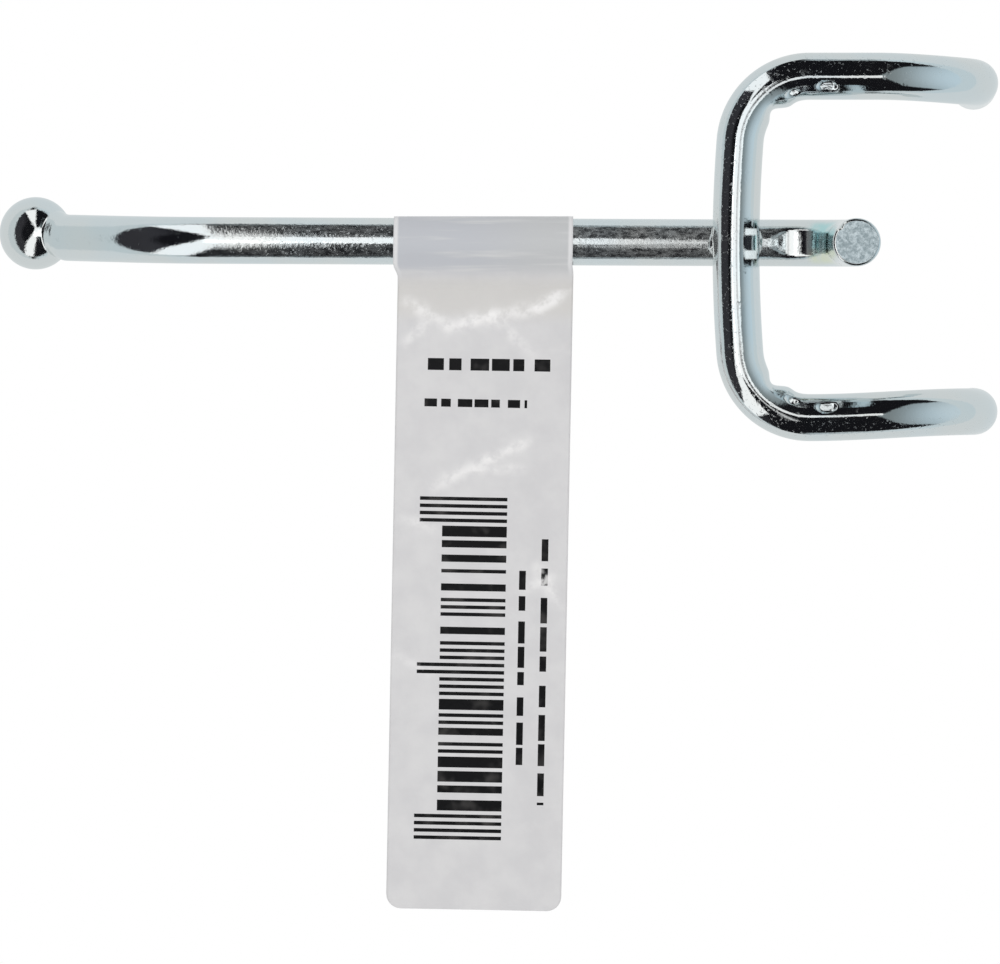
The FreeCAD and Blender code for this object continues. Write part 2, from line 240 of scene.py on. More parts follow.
def cut_end(bevel, roughness, seed):
    """Loops of a sheared end from its rim inwards: share of the radius, step outwards, roughness and seed."""
    rim = (WIRE - bevel) / WIRE
    shares = [1.0, 1.0 - 0.35 * bevel / WIRE, rim, rim * 0.97]
    shares += [rim * share for share in (0.88, 0.76, 0.64, 0.52, 0.4, 0.28, 0.16, 0.07)]
    steps = [-bevel, -0.35 * bevel, 0.0] + [0.0] * 9
    return [(share, step, roughness if index > 2 else 0.0, seed)
            for index, (share, step) in enumerate(zip(shares, steps))]


def wire_mesh(name, wire, radius_at, first_end=None, last_end=None):
    """Skins a bent wire. Each point keeps its place on the wire pulled straight, which the grain follows."""
    points, straightened, loop_end = [], [], []

    def add_loop(ring, share, step, rough, seed, is_end):
        centre, heading, side, up, run = ring
        for index in range(WIRE_SIDES):
            angle = 2 * math.pi * index / WIRE_SIDES
            radius = radius_at(run, angle) * share
            spot = Vector((radius * math.cos(angle), radius * math.sin(angle), seed))
            push = step + rough * noise.fractal(spot * 1.7, 0.8, 2.0, 4)
            points.append((centre + side * spot.x + up * spot.y + heading * push) * MM)
            straightened.append((spot.x, spot.y, run + push))
        loop_end.append(is_end)

    if first_end:
        for share, step, rough, seed in reversed(first_end):
            add_loop(wire.rings[0], share, -step, rough, seed, rough > 0)
    for ring in wire.rings[bool(first_end):len(wire.rings) - bool(last_end)]:
        add_loop(ring, 1.0, 0.0, 0.0, 0.0, False)
    if last_end:
        for share, step, rough, seed in last_end:
            add_loop(wire.rings[-1], share, step, rough, seed, rough > 0)

    faces, finishes = [], []
    for row in range(len(loop_end) - 1):
        for index in range(WIRE_SIDES):
            after = (index + 1) % WIRE_SIDES
            low, high = row * WIRE_SIDES, (row + 1) * WIRE_SIDES
            faces.append((low + index, low + after, high + after, high + index))
            finishes.append(1 if loop_end[row] and loop_end[row + 1] else 0)
    for start, ring_end in ((0, first_end), (len(points) - WIRE_SIDES, last_end)):
        middle = sum((points[start + index] for index in range(WIRE_SIDES)), Vector()) / WIRE_SIDES
        points.append(middle)
        straightened.append((0.0, 0.0, straightened[start][2]))
        for index in range(WIRE_SIDES):
            pair = (start + index, start + (index + 1) % WIRE_SIDES)
            faces.append((*(reversed(pair) if start == 0 else pair), len(points) - 1))
            finishes.append(1 if ring_end else 0)

    mesh = bpy.data.meshes.new(name)
    mesh.from_pydata(points, [], faces)
    mesh.polygons.foreach_set("material_index", finishes)
    mesh.polygons.foreach_set("use_smooth", [True] * len(faces))
    place = mesh.attributes.new("straight_wire", "FLOAT_VECTOR", "POINT")
    place.data.foreach_set("vector", [value for spot in straightened for value in spot])
    mesh.update()
    piece = bpy.data.objects.new(name, mesh)
    bpy.context.scene.collection.objects.link(piece)
    return piece


def flat_depth(along, turn, place, half_length, start, end, facing):
    """How deep a pressed flat lies under the round wire at a place along it and a turn round it."""
    if turn > end or turn < facing:
        return 0.0
    flat = WIRE * math.cos(end - facing) / math.cos(turn - facing)
    oval = math.hypot((along - place) / half_length, (2 * turn - start - end) / (end - start))
    return (WIRE - flat) * smooth(1.25, 0.9, oval)


def bracket_wire():
    """The U-shaped wire from the left prong's end to the right one's, with the bending punch's marks."""
    half = LEG_PITCH / 2
    left_lean, right_lean = math.radians(LEFT_TOE_IN), math.radians(RIGHT_TOE_IN)
    left_up = Vector((math.sin(left_lean), 0, math.cos(left_lean)))
    right_up = Vector((-math.sin(right_lean), 0, math.cos(right_lean)))
    ease = math.radians(ELBOW_EASE_ANGLE)
    tight = (ELBOW_BEND - ELBOW_EASE * math.sin(ease)) / (1 - math.sin(ease))
    bend_rise = ELBOW_EASE * (1 - math.cos(ease)) + tight * math.cos(ease)
    turned = math.radians(90 - PRONG_OPEN)
    elbow = [(ELBOW_EASE, ELBOW_EASE_ANGLE), (tight, 90 - PRONG_OPEN - ELBOW_EASE_ANGLE)]
    elbow_length = ELBOW_EASE * ease + tight * (turned - ease)
    prong_length = PRONG_RISE - bend_rise
    end_out = ELBOW_EASE * math.sin(ease) + tight * (math.sin(turned) - math.sin(ease))
    end_out += prong_length * math.cos(turned)
    end_up = ELBOW_EASE * (1 - math.cos(ease)) + tight * (math.cos(ease) - math.cos(turned))
    end_up += prong_length * math.sin(turned)
    leg_end = PRONG_PLACE - ELBOW_BEND
    corner_x = half - CORNER_BEND
    bow_turn = math.degrees(math.asin(corner_x / (BASE_BOW - CORNER_BEND)))
    corner_y = BASE_BOW - BASE_SETBACK - math.sqrt((BASE_BOW - CORNER_BEND) ** 2 - corner_x ** 2)
    prong_end = Vector((-half, leg_end + end_out, 0)) + left_up * end_up
    prong_heading = Y_AXIS * math.cos(turned) + left_up * math.sin(turned)
    inside = X_AXIS - left_up * X_AXIS.dot(left_up)
    first_run = LEG_RUN - elbow_length - prong_length
    wire = BentWire(prong_end, -prong_heading, inside.normalized(), first_run)
    wire.straight(prong_length)
    wire.elbow(left_up * math.cos(turned) - Y_AXIS * math.sin(turned), reversed(elbow))
    wire.straight(leg_end - corner_y, step=FINE_STEP)
    first_corner = wire.run
    wire.bend(CORNER_BEND, 90 - bow_turn, X_AXIS)
    second_bow = wire.run
    wire.bend(BASE_BOW, 2 * bow_turn, Z_AXIS.cross(wire.heading))
    third_corner = wire.run
    wire.bend(CORNER_BEND, 90 - bow_turn, Z_AXIS.cross(wire.heading))
    wire.straight(leg_end - corner_y, step=FINE_STEP)
    wire.elbow(right_up, elbow)
    wire.straight(prong_length)
    corner_length = second_bow - first_corner
    fourth_leg = third_corner + corner_length
    wire.spring(*LEFT_SPRING, first_run, first_corner)
    wire.spring(*RIGHT_SPRING, fourth_leg, wire.run)

    def radius_at(run, angle):
        into_leg = max(first_corner - run, run - fourth_leg)
        dent = sum(flat_depth(into_leg, angle - 1.5 * math.pi, *flat) for flat in TOOL_FLATS)
        from_leg = min(abs(run - first_corner), abs(run - fourth_leg))
        on_corner = first_corner <= run <= second_bow or third_corner <= run <= fourth_leg
        if not on_corner:
            return WIRE - dent
        bent = 90 - math.degrees(from_leg / CORNER_BEND)
        facing_in = max(0.0, math.cos(angle)) ** 3
        fade = smooth(0, PUNCH_FADE, 90 - bent) * smooth(bow_turn, bow_turn + PUNCH_FADE, bent)
        punched = PUNCH_DENT[0] * hump(bent, *PUNCH_DENT[1:]) - PUNCH_RIDGE[0] * hump(bent, *PUNCH_RIDGE[1:])
        return WIRE - dent - facing_in * fade * punched

    return wire, radius_at


def arm_wire():
    """The arm from the end of its stub to the top of its ball."""
    lean = math.radians(TIP_LEAN)
    ease = math.radians(STUB_EASE_ANGLE)
    tight = (STUB_BEND - STUB_PLACE - STUB_EASE * math.sin(ease)) / (1 - math.sin(ease))
    bend_drop = STUB_EASE * (1 - math.cos(ease)) + tight * math.cos(ease)
    wire = BentWire((ARM_OFFSET, -STUB_PLACE, ARM_HEIGHT - STUB_DROP), Z_AXIS, X_AXIS)
    wire.straight(STUB_DROP - bend_drop)
    stub_top = wire.run
    wire.bend(tight, 90 - STUB_EASE_ANGLE, -Y_AXIS)
    wire.bend(STUB_EASE, STUB_EASE_ANGLE, X_AXIS.cross(wire.heading))
    bend_end = wire.run
    wire.straight(ARM_REACH - STUB_BEND)
    wire.bend(TIP_BEND, TIP_ANGLE, Vector((math.sin(lean), 0, math.cos(lean))))
    ball_place = wire.run + TIP_LENGTH
    wire.straight(TIP_LENGTH - BALL, step=TIP_STEP)
    for index in range(1, BALL_RINGS):
        target = ball_place - BALL * math.cos(math.pi * index / BALL_RINGS)
        wire.forward(target - wire.run)
    neck = ball_place - BALL
    wire.set_off(BALL_SHIFT, neck - BALL_SHIFT_BEFORE, neck + BALL_SHIFT_AFTER)
    wire.turn_about(Vector((ARM_OFFSET, -ARM_PIVOT, 0)), ARM_TURN)

    def radius_at(run, angle):
        if run < 1:
            return WIRE - STUB_NICK[0] * hump(angle, *STUB_NICK[1:]) * smooth(1, 0, run)
        if run < bend_end + 2.6:
            pressed = smooth(bend_end + 0.5, bend_end - 1.0, run) * smooth(stub_top - 1, stub_top + 2, run)
            eased = 1 - 0.25 * smooth(bend_end - 1.2, bend_end - 3.2, run)
            on_run = smooth(bend_end + 2.5, bend_end + 1.9, run)
            depth = STUB_FLAT * pressed * eased + RUN_FLAT * on_run * (1 - pressed)
            flat = (WIRE - depth) / max(-math.sin(angle), 0.2)
            return (WIRE + flat - math.hypot(WIRE - flat, 0.04)) / 2
        beyond = run - ball_place
        ball = math.sqrt(max(BALL ** 2 - beyond ** 2, 0.0))
        if beyond < 0:
            both = math.sqrt((WIRE - ball) ** 2 + BALL_NECK ** 2)
            return (WIRE + ball + both) / 2 if beyond > -BALL else WIRE
        return ball

    return wire, radius_at


def weld_flash():
    """The uneven bead squeezed out round the seat where the arm is welded to the bracket."""
    points, faces, straightened = [], [], []
    for index in range(FLASH_AROUND):
        angle = 2 * math.pi * index / FLASH_AROUND
        below = math.sqrt(WIRE ** 2 - (FLASH_REACH * math.sin(angle)) ** 2)
        above = ARM_HEIGHT - math.sqrt(WIRE ** 2 - (FLASH_REACH * math.cos(angle)) ** 2)
        height = (below + above) / 2
        out = Vector((math.cos(angle), math.sin(angle), 0))
        middle = out * FLASH_REACH + Vector((ARM_OFFSET, -BASE_SETBACK, height))
        swell = FLASH_BEAD + FLASH_LUMPS * noise.noise(out * 2.3) + FLASH_GRIT * noise.noise(out * 7.1)
        here = index * FLASH_SIDES
        there = (index + 1) % FLASH_AROUND * FLASH_SIDES
        for turn in range(FLASH_SIDES):
            tilt = 2 * math.pi * turn / FLASH_SIDES
            offset = out * math.cos(tilt) * swell + Z_AXIS * math.sin(tilt) * swell * FLASH_SQUASH
            points.append((middle + offset) * MM)
            straightened.append((FLASH_REACH * angle, swell * tilt, 0.0))
            beside = (turn + 1) % FLASH_SIDES
            faces.append((here + turn, there + turn, there + beside, here + beside))
    mesh = bpy.data.meshes.new("weld_flash")
    mesh.from_pydata(points, [], faces)
    mesh.polygons.foreach_set("use_smooth", [True] * len(faces))
    place = mesh.attributes.new("straight_wire", "FLOAT_VECTOR", "POINT")
    place.data.foreach_set("vector", [value for spot in straightened for value in spot])
    mesh.update()
    piece = bpy.data.objects.new("weld_flash", mesh)
    bpy.context.scene.collection.objects.link(piece)
    return piece


# Creases pressed into the flag by handling: two ends as (across, from the arm's axis), width and height.
CREASES = [
    ((-5.9, 4.4), (-2.6, 6.3), 0.45, 0.10),
    ((-2.6, 6.3), (0.6, 5.6), 0.55, 0.12),
    ((0.6, 5.6), (4.0, 4.9), 0.50, 0.10),
    ((4.0, 4.9), (6.3, 3.6), 0.40, 0.12),
    ((-6.0, 7.6), (-4.2, 6.0), 0.40, 0.08),
    ((0.8, 5.6), (3.6, 8.4), 0.45, 0.07),
    ((-3.4, 18.4), (0.4, 16.3), 0.50, 0.09),
    ((0.4, 16.3), (3.4, 14.9), 0.40, 0.10),
    ((-0.4, 17.2), (3.0, 16.9), 0.35, 0.07),
    ((-5.9, 20.8), (-3.4, 21.6), 0.45, 0.06),
    ((4.3, 24.2), (6.2, 27.3), 0.40, 0.08),
    ((3.4, 26.0), (5.4, 25.0), 0.35, 0.06),
    ((-6.1, 31.2), (-3.6, 32.3), 0.50, 0.05),
]


def crease_at(across, along):
    """Height of the creases and how much lighter they are painted: whitening of the film and a painted
    highlight.
    """
    height, white = 0.0, 0.0
    for (start_a, start_b), (end_a, end_b), width, rise in CREASES:
        start, end = Vector((start_a, start_b)), Vector((end_a, end_b))
        path = end - start
        share = min(max((Vector((across, along)) - start).dot(path) / path.length_squared, 0.0), 1.0)
        wander = 0.25 * noise.noise(Vector((across, along, start_a)) * 0.9)
        away = (Vector((across, along)) - start - path * share).length + wander
        fade = 0.55 + 0.45 * math.sin(math.pi * share)
        height += rise * fade * hump(away, 0, width)
        # A crease's lightening stands for whitening of the film and for a painted highlight on its slopes.
        white += 8 * rise * fade * hump(away, 0, width)
    return height, min(white, 1.0)


def flag_stations():
    """The film's mid-line from the front layer's free end to the back layer's, as (out, height, along)."""
    touch = math.acos(FILM_SEAT / FLAG_PINCH)
    layer = FILM / 2 + 0.005
    rows = []
    ends = [0.0, 0.02, 0.07, 0.15, 0.26, 0.4, 0.58, 0.8, FLAG_CORNER]
    rows += [FLAG_LENGTH - end for end in ends]
    straight_from = FLAG_LENGTH - FLAG_CORNER
    to_pinch = FLAG_PINCH - straight_from
    rows += [straight_from + to_pinch * (step + 1) / FLAG_ROWS for step in range(FLAG_ROWS)]
    front = [(out, -layer, out) for out in rows]
    leave = Vector((FILM_SEAT * math.cos(touch), FILM_SEAT * math.sin(touch)))
    pinch = Vector((FLAG_PINCH, layer))
    slope = [pinch.lerp(leave, (step + 1) / 8) for step in range(7)]
    rise = [(spot.x, -spot.y, spot.x) for spot in slope]
    loop = []
    for step in range(WRAP_ROWS + 1):
        angle = touch + (2 * math.pi - 2 * touch) * step / WRAP_ROWS
        out = FILM_SEAT * math.cos(angle)
        loop.append((out, -FILM_SEAT * math.sin(angle), out))
    back = [(out, -height, -along) for out, height, along in reversed(front + rise)]
    return front + rise + loop + back


def folded_flag():
    """One strip of film folded round the arm and stuck to itself, with creases from handling."""
    points, places, creases = [], [], []
    stations = flag_stations()
    for out, height, along in stations:
        from_end = FLAG_LENGTH - out
        cut_in = 0.0
        if from_end < FLAG_CORNER:
            cut_in = FLAG_CORNER - math.sqrt(FLAG_CORNER ** 2 - (FLAG_CORNER - from_end) ** 2)
        half = FLAG_WIDTH / 2 - cut_in
        free = smooth(FLAG_PINCH, FLAG_FREE, out)
        for column in range(FLAG_COLUMNS + 1):
            across = half * (2 * column / FLAG_COLUMNS - 1)
            ripple = FLAG_RIPPLE * noise.noise(Vector((across * 0.16, out * 0.11, 3.0)))
            curl = FLAG_CURL * (across / half) ** 2 * math.sin(out * 0.16 + 0.7)
            rise, white = crease_at(across, abs(along)) if out >= FLAG_PINCH else (0.0, 0.0)
            lift = free * (ripple + curl) - smooth(FLAG_PINCH, CREASE_FROM, out) * rise
            x = ARM_OFFSET - out * math.cos(FLAG_LEAN) - free * across * math.sin(FLAG_LEAN)
            y = -FLAG_PLACE - out * math.sin(FLAG_LEAN) + across * math.cos(FLAG_LEAN)
            y -= (WRAP_SKEW[0] - WRAP_SKEW[1] * across / half) * smooth(SKEW_FROM, SKEW_FULL, out)
            points.append(Vector((x, y, ARM_HEIGHT + height + lift)) * MM)
            places.append((across, along, height))
            creases.append(white)
    width = FLAG_COLUMNS + 1
    faces = []
    for row in range(len(stations) - 1):
        for column in range(FLAG_COLUMNS):
            corner = row * width + column
            faces.append((corner, corner + 1, corner + width + 1, corner + width))
    mesh = bpy.data.meshes.new("folded_flag")
    mesh.from_pydata(points, [], faces)
    mesh.polygons.foreach_set("use_smooth", [True] * len(faces))
    place = mesh.attributes.new("film_place", "FLOAT_VECTOR", "POINT")
    place.data.foreach_set("vector", [value for spot in places for value in spot])
    # Each point's crease lightening: whitening of the film and a painted highlight.
    whitened = mesh.attributes.new("crease_whitening_and_highlight", "FLOAT", "POINT")
    whitened.data.foreach_set("value", creases)
    mesh.update()
    piece = bpy.data.objects.new("folded_flag", mesh)
    bpy.context.scene.collection.objects.link(piece)
    skin = piece.modifiers.new("film thickness", "SOLIDIFY")
    skin.thickness = FILM * MM
    skin.offset = 0.0
    steps = zip(stations, stations[1:])
    length = sum(math.hypot(after[0] - before[0], after[1] - before[1]) for before, after in steps)
    return piece


def add(tree, kind, inputs=None, **settings):
    """Adds a node. An input's value is a number, a colour or another node's output to link."""
    made = tree.nodes.new(kind)
    for name, value in settings.items():
        setattr(made, name, value)
    for name, value in (inputs or {}).items():
        if isinstance(value, bpy.types.NodeSocket):
            tree.links.new(value, made.inputs[name])
        else:
            made.inputs[name].default_value = value
    return made


def math_node(tree, operation, first, second=0.0, third=0.0):
    """A Math node's result, from numbers or outputs."""
    return add(tree, "ShaderNodeMath", {0: first, 1: second, 2: third}, operation=operation).outputs[0]


def ramp(tree, value, low, high, start=0.0, end=1.0):
    """A value mapped smoothly from low..high to start..end."""
    inputs = {"Value": value, "From Min": low, "From Max": high, "To Min": start, "To Max": end}
    return add(tree, "ShaderNodeMapRange", inputs, interpolation_type="SMOOTHSTEP").outputs["Result"]


def blend(tree, share, first, second):
    """Two colours mixed by a share."""
    made = add(tree, "ShaderNodeMix", data_type="RGBA")
    for socket, value in ((made.inputs[0], share), (made.inputs[6], first), (made.inputs[7], second)):
        if isinstance(value, bpy.types.NodeSocket):
            tree.links.new(value, socket)
        else:
            socket.default_value = value
    return made.outputs[2]


def fine_noise(tree, place, scale, detail=3.0, roughness=0.6):
    """A noise value at a place."""
    inputs = {"Vector": place, "Scale": scale, "Detail": detail, "Roughness": roughness}
    return add(tree, "ShaderNodeTexNoise", inputs).outputs["Fac"]


def new_group(name, inputs, outputs):
    """An empty shader node group with named sockets."""
    tree = bpy.data.node_groups.new(name, "ShaderNodeTree")
    for socket, kind in inputs:
        tree.interface.new_socket(name=socket, in_out="INPUT", socket_type=kind)
    for socket, kind in outputs:
        tree.interface.new_socket(name=socket, in_out="OUTPUT", socket_type=kind)
    return tree, tree.nodes.new("NodeGroupInput").outputs, tree.nodes.new("NodeGroupOutput").inputs


def plating_group():
    """Grain of zinc plate over drawn wire: crystals, drawing streaks, flecks, dull blooms, a faint tint."""
    tree, given, result = new_group(
        "Zinc plating",
        [("Place", "NodeSocketVector"), ("Grain", "NodeSocketFloat"), ("Streaks", "NodeSocketFloat"),
         ("Flecks", "NodeSocketFloat")],
        [("Height", "NodeSocketFloat"), ("Dullness", "NodeSocketFloat"), ("Tint", "NodeSocketColor")],
    )
    crystals = fine_noise(tree, given["Place"], 3.2, 4.0, 0.65)
    sparse = math_node(tree, "MULTIPLY_ADD", given["Flecks"], -0.12, 0.66)
    specks = math_node(tree, "SUBTRACT", fine_noise(tree, given["Place"], 5.0, 1.5), sparse)
    flecks = ramp(tree, specks, 0.0, 0.07)
    drawn = add(tree, "ShaderNodeMapping", {"Vector": given["Place"], "Scale": (5.0, 5.0, 0.16)}).outputs[0]
    streaks = fine_noise(tree, drawn, 1.0, 2.0)
    pits = ramp(tree, fine_noise(tree, given["Place"], 1.4, 2.0), 0.60, 0.72)
    bumps = math_node(tree, "MULTIPLY", crystals, given["Grain"])
    lines = math_node(tree, "MULTIPLY", streaks, given["Streaks"])
    sum_of_both = math_node(tree, "ADD", bumps, lines)
    tree.links.new(math_node(tree, "MULTIPLY_ADD", pits, -0.25, sum_of_both), result["Height"])
    bloom = ramp(tree, fine_noise(tree, given["Place"], 0.55, 3.0), 0.42, 0.68)
    bloomed = math_node(tree, "MULTIPLY", bloom, 0.22)
    soft = math_node(tree, "MAXIMUM", bloomed, math_node(tree, "MULTIPLY", pits, 0.5))
    tree.links.new(math_node(tree, "MAXIMUM", soft, flecks), result["Dullness"])
    hue = ramp(tree, fine_noise(tree, given["Place"], 0.21, 1.0), 0.35, 0.65)
    tree.links.new(blend(tree, hue, (0.735, 0.795, 0.815, 1), (0.775, 0.80, 0.795, 1)), result["Tint"])
    return tree


def plain_material(name):
    """A material with a Principled shader and its tree."""
    material = bpy.data.materials.new(name)
    material.use_nodes = True
    tree = material.node_tree
    return material, tree, tree.nodes["Principled BSDF"]


def wire_place(tree):
    """The place on the wire pulled straight."""
    return add(tree, "ShaderNodeAttribute", attribute_name="straight_wire").outputs["Vector"]


def plated(name, plating, grain, streaks, flecks, bump_height, roughness, tints=None, metal=1.0):
    """A zinc finish on wire: roughness is (bright, dull) and bump_height is in metres."""
    material, tree, shader = plain_material(name)
    coat = add(tree, "ShaderNodeGroup", node_tree=plating)
    tree.links.new(wire_place(tree), coat.inputs["Place"])
    coat.inputs["Grain"].default_value = grain
    coat.inputs["Streaks"].default_value = streaks
    coat.inputs["Flecks"].default_value = flecks
    bump = add(tree, "ShaderNodeBump", {"Height": coat.outputs["Height"], "Distance": bump_height})
    tree.links.new(bump.outputs["Normal"], shader.inputs["Normal"])
    dull = ramp(tree, coat.outputs["Dullness"], 0, 1, *roughness)
    tree.links.new(dull, shader.inputs["Roughness"])
    colour = coat.outputs["Tint"]
    if tints:
        patch = ramp(tree, fine_noise(tree, wire_place(tree), 2.4, 4.0, 0.7), 0.38, 0.66)
        colour = blend(tree, patch, *tints)
    tree.links.new(colour, shader.inputs["Base Color"])
    shader.inputs["Metallic"].default_value = metal
    return material


def rubbed_arm(plating):
    """The arm's plating: rubbed dull along its straight run and stained blue-green inside the stub's bend."""
    material = plated(
        "rubbed zinc", plating, grain=0.9, streaks=0.5, flecks=0.0, bump_height=0.000010,
        roughness=(0.05, 0.3),
    )
    tree = material.node_tree
    shader = tree.nodes["Principled BSDF"]
    coat = next(node for node in tree.nodes if node.bl_idname == "ShaderNodeGroup")
    parts = add(tree, "ShaderNodeSeparateXYZ", {"Vector": wire_place(tree)}).outputs
    run = parts["Z"]
    rubbed = math_node(tree, "MULTIPLY", ramp(tree, run, 17.2, 18.6), ramp(tree, run, 62.5, 56.5))
    clear_of_edge = ramp(tree, math_node(tree, "ABSOLUTE", parts["X"]), 1.25, 1.0)
    worn_side = math_node(tree, "MULTIPLY", rubbed, clear_of_edge)
    tree.links.new(math_node(tree, "MULTIPLY_ADD", worn_side, 1.2, -0.5), coat.inputs["Flecks"])
    stretched = {"Vector": wire_place(tree), "Scale": (3.4, 3.4, 1.5)}
    strokes = add(tree, "ShaderNodeMapping", stretched).outputs[0]
    scuffs = ramp(tree, fine_noise(tree, strokes, 1.0, 3.0, 0.7), 0.34, 0.68, 0.03, 0.27)
    one_side = ramp(tree, parts["X"], -1.0, 0.6, 0.6, 1.0)
    inner_run = math_node(tree, "MULTIPLY", rubbed, ramp(tree, run, 34, 46, 1.0, 0.6))
    inner_run = math_node(tree, "MULTIPLY", inner_run, ramp(tree, clear_of_edge, 0.0, 1.0, 0.3, 1.0))
    matte = math_node(tree, "MULTIPLY", math_node(tree, "MULTIPLY", scuffs, one_side), inner_run)
    residue = math_node(tree, "MULTIPLY", ramp(tree, run, 14.5, 14.8), ramp(tree, run, 15.5, 15.2))
    residue = math_node(tree, "MULTIPLY", residue, ramp(tree, parts["Y"], -0.9, -1.2))
    residue = math_node(tree, "MULTIPLY", residue, 0.2)
    dulled = math_node(tree, "ADD", matte, residue)
    tree.links.new(math_node(tree, "SUBTRACT", 1.0, dulled), shader.inputs["Metallic"])
    in_bend = math_node(tree, "MULTIPLY", ramp(tree, run, 10.6, 11.8), ramp(tree, run, 15.6, 14.2))
    inside = math_node(tree, "MULTIPLY", in_bend, ramp(tree, parts["Y"], -0.5, -1.3))
    patchy = ramp(tree, fine_noise(tree, wire_place(tree), 0.9, 2.0), 0.25, 0.6, 0.45, 1.0)
    stain = blend(tree, ramp(tree, parts["X"], -0.2, -0.9), (0.50, 0.76, 0.77, 1), (0.79, 0.83, 0.66, 1))
    colour = blend(tree, math_node(tree, "MULTIPLY", inside, patchy), coat.outputs["Tint"], stain)
    tree.links.new(colour, shader.inputs["Base Color"])
    return material


def scuffed_bracket(plating):
    """The bracket's plating: bright, with flecks on the outer side of the U and a painted reflection beside
    the weld.
    """
    material = plated(
        "bright zinc", plating, grain=0.4, streaks=0.4, flecks=0.0, bump_height=0.000010,
        roughness=(0.04, 0.33),
    )
    tree = material.node_tree
    coat = next(node for node in tree.nodes if node.bl_idname == "ShaderNodeGroup")
    parts = add(tree, "ShaderNodeSeparateXYZ", {"Vector": wire_place(tree)}).outputs
    outside = ramp(tree, parts["X"], 0.1, -0.4, -0.6, 0.5)
    tree.links.new(outside, coat.inputs["Flecks"])
    # The pale, non-metallic patches beside the weld are a painted reflection.
    patches = []
    for middle, half in PAINTED_WELD_REFLECTIONS:
        away = math_node(tree, "ABSOLUTE", math_node(tree, "SUBTRACT", parts["Z"], middle))
        patches.append(ramp(tree, away, half + 0.08, half - 0.08))
    off_seat = math_node(tree, "ABSOLUTE", math_node(tree, "SUBTRACT", parts["X"], 1.05))
    below = math_node(tree, "MULTIPLY", ramp(tree, off_seat, 0.52, 0.38), ramp(tree, parts["Y"], -0.3, -0.6))
    patchy = ramp(tree, fine_noise(tree, wire_place(tree), 3.0, 2.0), 0.2, 0.45, 0.7, 1.0)
    either = math_node(tree, "MAXIMUM", *patches)
    painted_reflection = math_node(tree, "MULTIPLY", either, math_node(tree, "MULTIPLY", below, patchy))
    colour = blend(tree, painted_reflection, coat.outputs["Tint"], PAINTED_REFLECTION_TINT)
    shader = tree.nodes["Principled BSDF"]
    tree.links.new(colour, shader.inputs["Base Color"])
    tree.links.new(math_node(tree, "SUBTRACT", 1.0, painted_reflection), shader.inputs["Metallic"])
    return material


def bars_on_flag(tree, across, along):
    """A made-up block of bars one to three modules wide, with longer thin ones at its ends and middle."""
    module, first, count, middle = 0.271, 19.15, 95, 47
    from_first = math_node(tree, "SUBTRACT", along, first)
    step = math_node(tree, "FLOOR", math_node(tree, "DIVIDE", from_first, module))
    draw = add(tree, "ShaderNodeTexWhiteNoise", {"W": step}, noise_dimensions="1D").outputs["Value"]
    beat = math_node(tree, "FLOORED_MODULO", step, 4.0)
    always = math_node(tree, "LESS_THAN", beat, 0.5)
    off_beat = math_node(tree, "ABSOLUTE", math_node(tree, "SUBTRACT", beat, 1.5))
    maybe = math_node(tree, "LESS_THAN", off_beat, 0.75)
    chance = math_node(tree, "MULTIPLY", maybe, math_node(tree, "GREATER_THAN", draw, 0.5))
    uneven = math_node(tree, "MAXIMUM", always, chance)
    thin = math_node(tree, "LESS_THAN", math_node(tree, "FLOORED_MODULO", step, 2.0), 0.5)
    near_start = math_node(tree, "LESS_THAN", step, 6.5)
    near_end = math_node(tree, "GREATER_THAN", step, count - 7.5)
    off_middle = math_node(tree, "ABSOLUTE", math_node(tree, "SUBTRACT", step, middle))
    near_middle = math_node(tree, "LESS_THAN", off_middle, 2.5)
    long_bar = math_node(tree, "MAXIMUM", math_node(tree, "MAXIMUM", near_start, near_end), near_middle)
    kind = math_node(tree, "MULTIPLY", long_bar, math_node(tree, "SUBTRACT", thin, uneven))
    dark = math_node(tree, "ADD", uneven, kind)
    in_block = math_node(
        tree, "MULTIPLY",
        math_node(tree, "GREATER_THAN", step, -0.5), math_node(tree, "LESS_THAN", step, count - 0.5),
    )
    left = math_node(tree, "MULTIPLY_ADD", long_bar, -1.7, -2.9)
    wide = math_node(
        tree, "MULTIPLY",
        math_node(tree, "GREATER_THAN", across, left), math_node(tree, "LESS_THAN", across, 1.96),
    )
    return math_node(tree, "MULTIPLY", math_node(tree, "MULTIPLY", dark, in_block), wide)


def rule_on_flag(tree, along_rule, across_rule, start, end, middle, thick, word):
    """A plain printed rule broken into uneven lengths, in place of a line of print."""
    step = math_node(tree, "DIVIDE", math_node(tree, "SUBTRACT", along_rule, start), word)
    part = math_node(tree, "FRACT", step)
    draw = add(
        tree, "ShaderNodeTexWhiteNoise", {"W": math_node(tree, "FLOOR", step)}, noise_dimensions="1D"
    ).outputs["Value"]
    filled = math_node(tree, "LESS_THAN", part, math_node(tree, "MULTIPLY_ADD", draw, 0.4, 0.52))
    inside = math_node(
        tree, "MULTIPLY",
        math_node(tree, "GREATER_THAN", along_rule, start), math_node(tree, "LESS_THAN", along_rule, end),
    )
    away = math_node(tree, "ABSOLUTE", math_node(tree, "SUBTRACT", across_rule, middle))
    on_line = math_node(tree, "LESS_THAN", away, thick / 2)
    return math_node(tree, "MULTIPLY", math_node(tree, "MULTIPLY", filled, inside), on_line)


